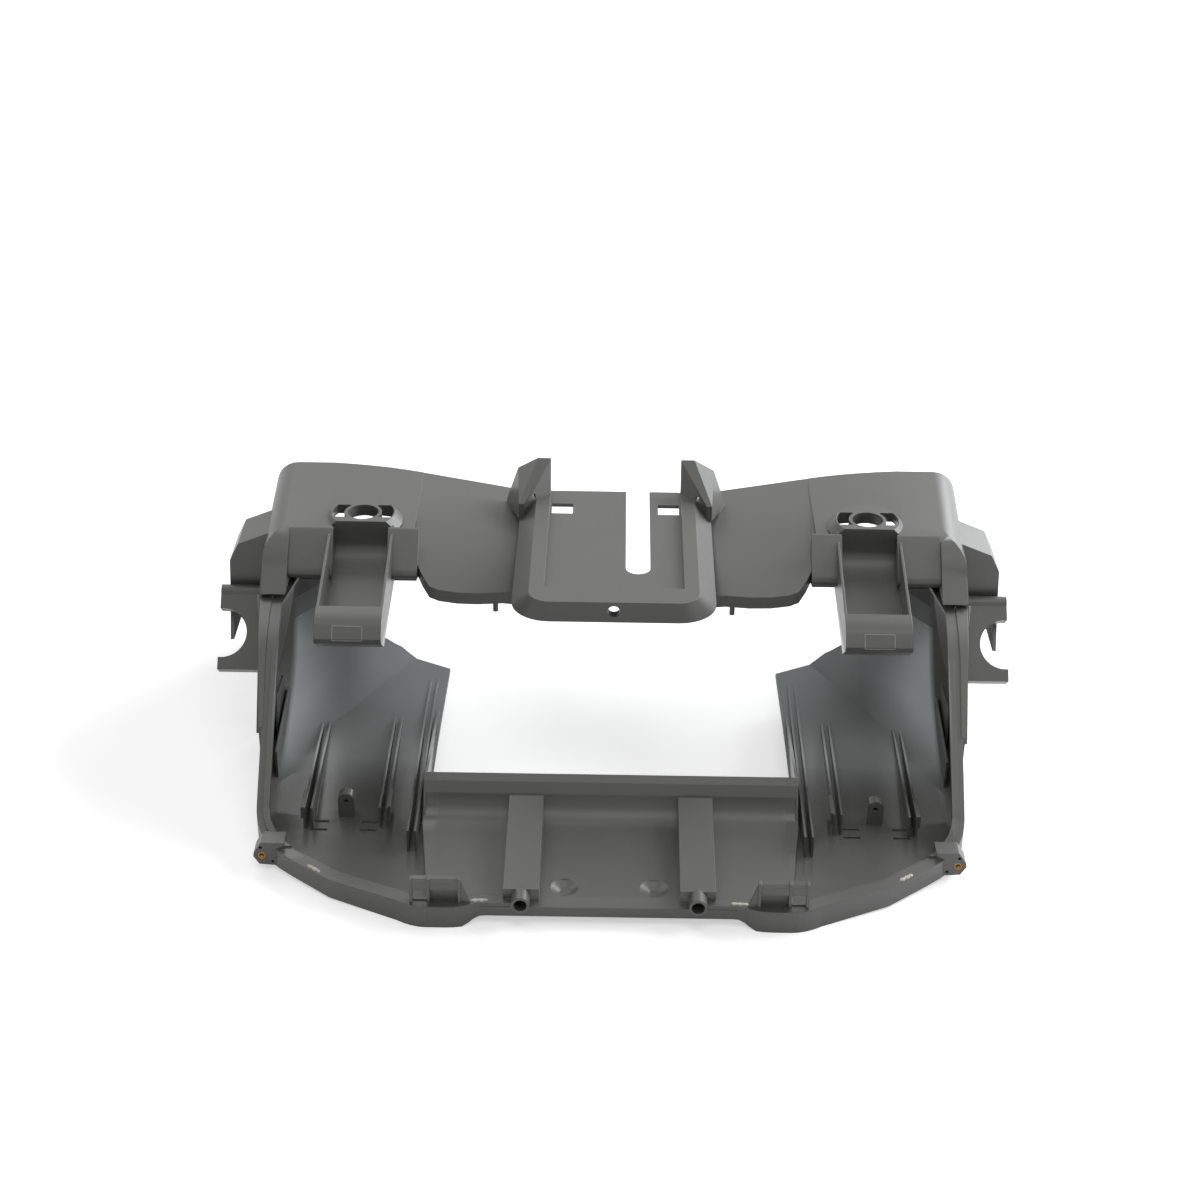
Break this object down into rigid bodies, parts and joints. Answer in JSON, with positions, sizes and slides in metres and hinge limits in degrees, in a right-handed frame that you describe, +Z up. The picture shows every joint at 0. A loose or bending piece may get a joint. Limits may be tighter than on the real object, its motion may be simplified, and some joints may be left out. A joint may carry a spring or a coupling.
{
  "type": "injection moulded plastic housing",
  "caption": "Wide U-shaped injection moulded housing shell with ribbed side tubs, front tray, domed shoulders, notched rear pocket, side cradles and brass threaded inserts.",
  "frame": {"origin": "middle of the bounding box at the level of the resting face", "axes": "+X across the housing, its longest extent and the normal of its mirror plane; +Y from the front lip to the back edge; +Z up, out of the open side"},
  "size_m": [0.6, 0.388, 0.1785],
  "materials": {
    "moulded_plastic": "satin as moulded, glossier on the inner faces",
    "brass": "turned, knurled outside"
  },
  "bodies": {
    "root": {"housing": "moulded_plastic", "insert_left": "brass", "insert_right": "brass"}
  },
  "joints": []
}
